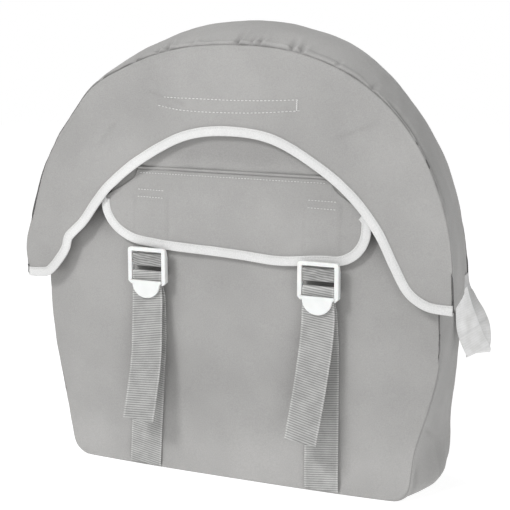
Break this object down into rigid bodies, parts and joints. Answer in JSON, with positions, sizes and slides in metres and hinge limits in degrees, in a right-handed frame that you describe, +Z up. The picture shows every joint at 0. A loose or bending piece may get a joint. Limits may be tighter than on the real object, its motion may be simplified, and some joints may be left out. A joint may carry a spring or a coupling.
{
  "type": "spare tire cover",
  "caption": "Domed two-part fabric cover for a spare wheel: a pouch, a hood that slips over it, and strap-and-buckle fastenings on a front flap.",
  "frame": {"origin": "middle of the flat base, on the surface the cover stands on", "axes": "+Z up, -Y towards the front with the straps, +X towards the viewer's right when the front is looked at"},
  "size_m": [0.6812, 0.195, 0.6431],
  "materials": {
    "grey_polyester": "matt woven polyester",
    "white_binding_tape": "smooth woven tape",
    "grey_webbing": "ribbed webbing",
    "white_webbing": "fine webbing",
    "white_plastic": "moulded, semi-gloss"
  },
  "bodies": {
    "pouch": {"pouch_front_panel": "grey_polyester", "pouch_gusset": "grey_polyester", "pouch_back_panel": "grey_polyester", "pouch_mouth_binding": "white_binding_tape", "strap_left_run": "grey_webbing", "strap_right_run": "grey_webbing", "side_loop_left_tab": "white_webbing", "side_loop_right_tab": "white_webbing"},
    "hood": {"hood_front_panel": "grey_polyester", "hood_gusset": "grey_polyester", "hood_back_panel": "grey_polyester", "hood_front_binding": "white_binding_tape", "hood_inner_tape": "white_binding_tape", "flap_upper_panel": "grey_polyester"},
    "flap": {"flap_lower_panel": "grey_polyester", "flap_binding": "white_binding_tape", "keeper_left_upper": "grey_webbing", "keeper_right_upper": "grey_webbing"},
    "buckle_left": {"buckle_left": "white_plastic", "keeper_left_lower": "grey_webbing", "strap_left_wrap": "grey_webbing"},
    "buckle_right": {"buckle_right": "white_plastic", "keeper_right_lower": "grey_webbing", "strap_right_wrap": "grey_webbing"},
    "tail_left": {"strap_left_tail": "grey_webbing"},
    "tail_right": {"strap_right_tail": "grey_webbing"},
    "loop_left": {"side_loop_left": "white_webbing"},
    "loop_right": {"side_loop_right": "white_webbing"}
  },
  "joints": [
    {"name": "hood_lift", "type": "slide", "parent": "pouch", "child": "hood", "axis": [0, 0, 1], "range_m": [0, 0.1], "deforming": ["strap_left_run", "strap_right_run"]},
    {"name": "flap_lift", "type": "hinge", "parent": "hood", "child": "flap", "pos_m": [0, -0.069, 0.4365], "axis": [-1, 0, 0], "range_deg": [0, 60]},
    {"name": "buckle_left_tilt", "type": "hinge", "parent": "flap", "child": "buckle_left", "pos_m": [-0.132, -0.0755, 0.3205], "axis": [-1, 0, 0], "range_deg": [0, 50]},
    {"name": "buckle_right_tilt", "type": "hinge", "parent": "flap", "child": "buckle_right", "pos_m": [0.132, -0.0755, 0.3205], "axis": [-1, 0, 0], "range_deg": [0, 50]},
    {"name": "strap_left_swing", "type": "hinge", "parent": "buckle_left", "child": "tail_left", "pos_m": [-0.132, -0.0915, 0.2498], "axis": [-1, 0, 0], "range_deg": [0, 80]},
    {"name": "strap_right_swing", "type": "hinge", "parent": "buckle_right", "child": "tail_right", "pos_m": [0.132, -0.0915, 0.2498], "axis": [-1, 0, 0], "range_deg": [0, 80]},
    {"name": "side_loop_left_swing", "type": "hinge", "parent": "pouch", "child": "loop_left", "pos_m": [-0.3005, 0.031, 0.272], "axis": [0, 1, 0], "range_deg": [0, 45]},
    {"name": "side_loop_right_swing", "type": "hinge", "parent": "pouch", "child": "loop_right", "pos_m": [0.3005, 0.031, 0.272], "axis": [0, -1, 0], "range_deg": [0, 45]}
  ]
}
